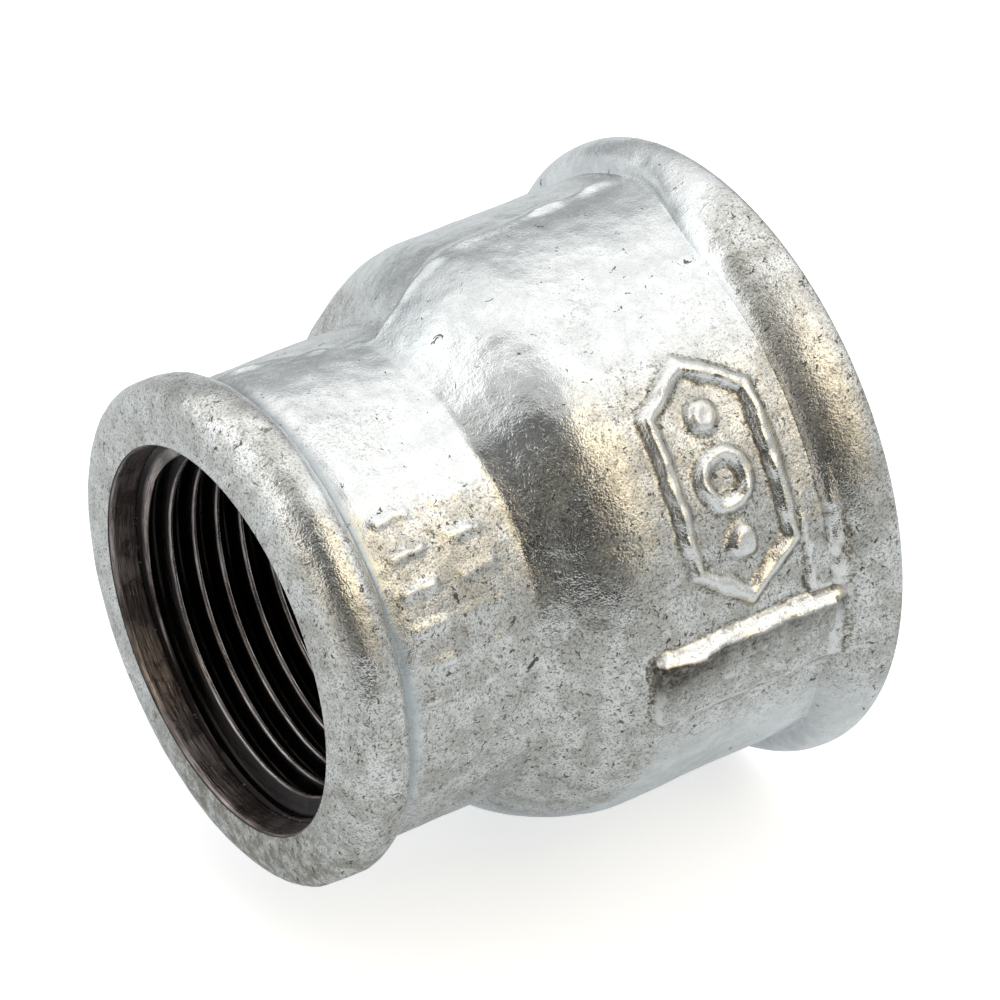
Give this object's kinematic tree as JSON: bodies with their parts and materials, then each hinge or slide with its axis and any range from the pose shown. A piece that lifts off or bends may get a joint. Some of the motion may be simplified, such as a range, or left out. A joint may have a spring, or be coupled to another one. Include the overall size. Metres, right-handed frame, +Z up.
{
  "type": "concentric reducer",
  "caption": "Straight reducing pipe socket in galvanised malleable iron: beaded round ends, a swelling waist, grip ribs and a female pipe thread in each end.",
  "frame": {"origin": "on the pipe axis, midway between the two end faces", "axes": "+X along the pipe axis from the small end to the large end, +Z up with the fitting lying on its side, one grip rib facing -Y"},
  "size_m": [0.05, 0.0566, 0.0566],
  "materials": {
    "galvanised_iron": "hot-dip galvanised zinc over a sand-cast skin, bright and mottled, with dark machined threads"
  },
  "bodies": {
    "root": {"reducer_body": "galvanised_iron"}
  },
  "joints": []
}
